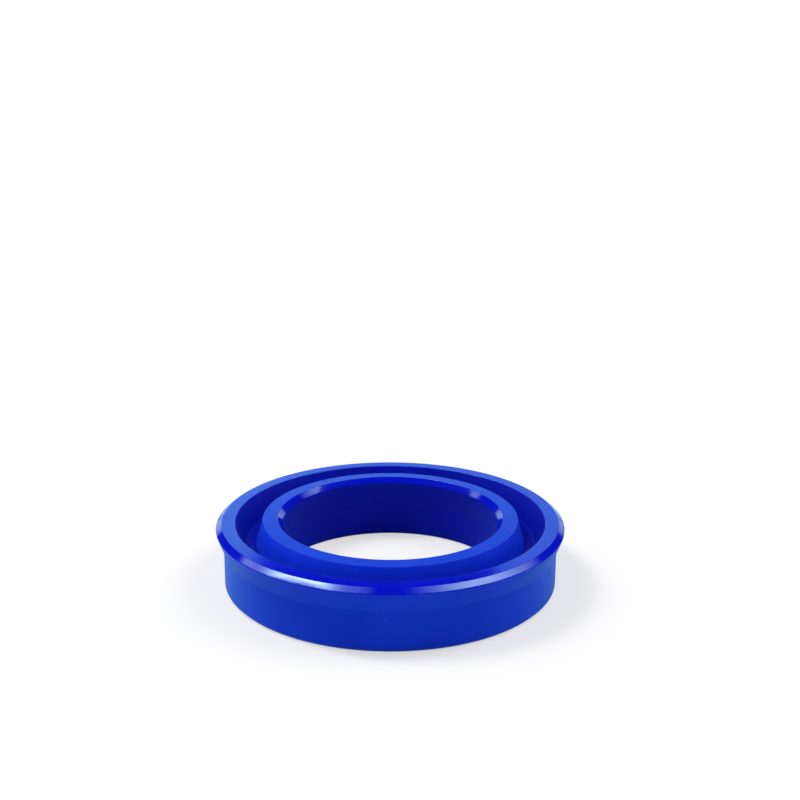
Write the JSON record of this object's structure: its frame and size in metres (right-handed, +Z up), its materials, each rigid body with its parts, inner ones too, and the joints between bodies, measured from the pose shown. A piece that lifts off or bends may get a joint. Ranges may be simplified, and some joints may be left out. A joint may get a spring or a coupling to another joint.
{
  "type": "u cup seal",
  "caption": "Ring-shaped polyurethane hydraulic rod seal with a solid flat heel and a pair of flared lips either side of an open groove.",
  "frame": {"origin": "centre of the heel's flat face, on the seal's axis, at the bottom of the box", "axes": "+Z up the seal's axis, from the heel to the lips; the ring is the same all the way round"},
  "size_m": [0.0624, 0.0624, 0.012],
  "materials": {
    "polyurethane": "moulded satin, with the trimmed lip ends and bevels glossy"
  },
  "bodies": {
    "root": {"seal_ring": "polyurethane"}
  },
  "joints": []
}
